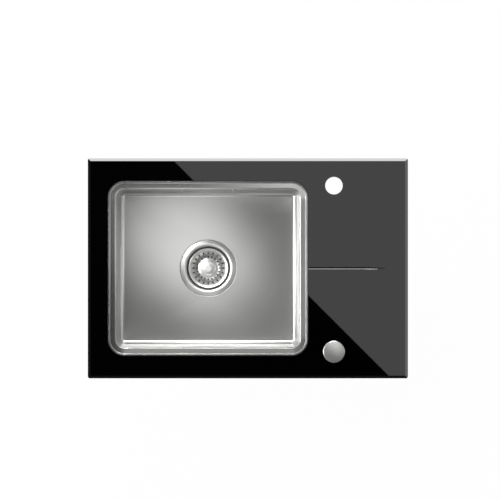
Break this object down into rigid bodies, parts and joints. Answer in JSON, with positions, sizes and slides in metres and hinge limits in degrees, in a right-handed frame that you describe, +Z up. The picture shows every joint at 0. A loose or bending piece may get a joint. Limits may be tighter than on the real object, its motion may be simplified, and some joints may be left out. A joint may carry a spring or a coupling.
{
  "type": "inset glass kitchen sink",
  "caption": "Bevelled black glass sink top with a steel bowl, basket strainer waste lifted by a rotary knob, tap hole, drain groove and clamps for a worktop cut-out.",
  "frame": {"origin": "centre of the glass in plan, on the plane of the worktop that its edge seal rests on", "axes": "+X to the user's right along the long side, +Y to the back, where the tap stands, +Z up"},
  "size_m": [0.64, 0.44, 0.3388],
  "materials": {
    "black_glass": "polished toughened glass, black all through to the eye",
    "bowl_steel": "fine satin",
    "strainer_steel": "polished",
    "rail_steel": "zinc plated",
    "fastener_steel": "zinc plated",
    "knob_metal": "satin",
    "brass": "machined",
    "black_plastic": "moulded, fine texture",
    "white_plastic": "moulded",
    "rubber": "matt",
    "sealant": "satin silicone",
    "foam": "closed-cell foam",
    "bitumen": "embossed damping sheet"
  },
  "bodies": {
    "root": {"glass_top": "black_glass", "bowl": "bowl_steel", "bowl_sealant": "sealant", "sound_pads": "bitumen", "edge_seal": "foam", "rail_back": "rail_steel", "rail_front": "rail_steel", "rail_left": "rail_steel", "rail_right": "rail_steel", "rail_adhesive": "sealant", "clamp_nuts": "rail_steel", "overflow_box": "black_plastic", "overflow_gasket": "rubber", "overflow_screws": "fastener_steel", "waste_flange": "strainer_steel", "rim_seal": "rubber", "body_gasket": "rubber", "waste_body": "black_plastic", "centre_screw": "fastener_steel", "centre_nut": "brass", "shaft_seal": "rubber", "waste_cable_gland": "black_plastic", "knob_bush": "black_plastic", "knob_washer": "rubber", "knob_nut": "black_plastic", "knob_housing": "black_plastic", "housing_clip": "fastener_steel", "housing_cover": "black_plastic", "cover_screws": "fastener_steel", "knob_cable_gland": "black_plastic"},
    "knob": {"control_knob": "knob_metal", "knob_spindle": "fastener_steel", "cable_drum": "white_plastic"},
    "lever": {"lift_lever": "fastener_steel", "lever_shaft": "fastener_steel", "lever_crank": "fastener_steel"},
    "pin": {"lift_pin": "fastener_steel"},
    "basket": {"strainer_basket": "strainer_steel", "basket_knob": "strainer_steel", "basket_stem": "fastener_steel", "basket_seal": "rubber"},
    "screw_back_left": {"clamp_screw_back_left": "fastener_steel"},
    "claw_back_left": {"clamp_claw_back_left": "fastener_steel"},
    "screw_back_right": {"clamp_screw_back_right": "fastener_steel"},
    "claw_back_right": {"clamp_claw_back_right": "fastener_steel"},
    "screw_front_right": {"clamp_screw_front_right": "fastener_steel"},
    "claw_front_right": {"clamp_claw_front_right": "fastener_steel"},
    "screw_front_left": {"clamp_screw_front_left": "fastener_steel"},
    "claw_front_left": {"clamp_claw_front_left": "fastener_steel"},
    "screw_left": {"clamp_screw_left": "fastener_steel"},
    "claw_left": {"clamp_claw_left": "fastener_steel"},
    "screw_right": {"clamp_screw_right": "fastener_steel"},
    "claw_right": {"clamp_claw_right": "fastener_steel"}
  },
  "joints": [
    {"name": "knob_turn", "type": "hinge", "parent": "root", "child": "knob", "pos_m": [0.172, -0.1666, 0.01], "axis": [0, 0, 1], "range_deg": [0, 90]},
    {"name": "lever_tilt", "type": "hinge", "parent": "root", "child": "lever", "pos_m": [-0.05837, 0, -0.2648], "axis": [0, 1, 0], "range_deg": [0, 25.77]},
    {"name": "pin_lift", "type": "slide", "parent": "root", "child": "pin", "axis": [0, 0, 1], "range_m": [0, 0.009]},
    {"name": "basket_lift", "type": "slide", "parent": "root", "child": "basket", "axis": [0, 0, 1], "range_m": [0, 0.009]},
    {"name": "screw_travel_back_left", "type": "slide", "parent": "root", "child": "screw_back_left", "axis": [0, 0, 1], "range_m": [0, 0.018]},
    {"name": "claw_swivel_back_left", "type": "hinge", "parent": "screw_back_left", "child": "claw_back_left", "pos_m": [-0.2, 0.197, -0.0547], "axis": [0, 0, 1], "range_deg": [0, 90]},
    {"name": "screw_travel_back_right", "type": "slide", "parent": "root", "child": "screw_back_right", "axis": [0, 0, 1], "range_m": [0, 0.018]},
    {"name": "claw_swivel_back_right", "type": "hinge", "parent": "screw_back_right", "child": "claw_back_right", "pos_m": [0.092, 0.197, -0.0547], "axis": [0, 0, 1], "range_deg": [0, 90]},
    {"name": "screw_travel_front_right", "type": "slide", "parent": "root", "child": "screw_front_right", "axis": [0, 0, 1], "range_m": [0, 0.018]},
    {"name": "claw_swivel_front_right", "type": "hinge", "parent": "screw_front_right", "child": "claw_front_right", "pos_m": [0.092, -0.197, -0.0547], "axis": [0, 0, 1], "range_deg": [0, 90]},
    {"name": "screw_travel_front_left", "type": "slide", "parent": "root", "child": "screw_front_left", "axis": [0, 0, 1], "range_m": [0, 0.018]},
    {"name": "claw_swivel_front_left", "type": "hinge", "parent": "screw_front_left", "child": "claw_front_left", "pos_m": [-0.2, -0.197, -0.0547], "axis": [0, 0, 1], "range_deg": [0, 90]},
    {"name": "screw_travel_left", "type": "slide", "parent": "root", "child": "screw_left", "axis": [0, 0, 1], "range_m": [0, 0.018]},
    {"name": "claw_swivel_left", "type": "hinge", "parent": "screw_left", "child": "claw_left", "pos_m": [-0.297, 0, -0.0547], "axis": [0, 0, 1], "range_deg": [0, 90]},
    {"name": "screw_travel_right", "type": "slide", "parent": "root", "child": "screw_right", "axis": [0, 0, 1], "range_m": [0, 0.018]},
    {"name": "claw_swivel_right", "type": "hinge", "parent": "screw_right", "child": "claw_right", "pos_m": [0.297, 0, -0.0547], "axis": [0, 0, 1], "range_deg": [0, 90]}
  ],
  "couplings": [
    {"joint": "lever_tilt", "follows": "knob_turn", "ratio": 0.28607},
    {"joint": "pin_lift", "follows": "knob_turn", "m_per_rad": 0.005729},
    {"joint": "basket_lift", "follows": "knob_turn", "m_per_rad": 0.005729}
  ]
}
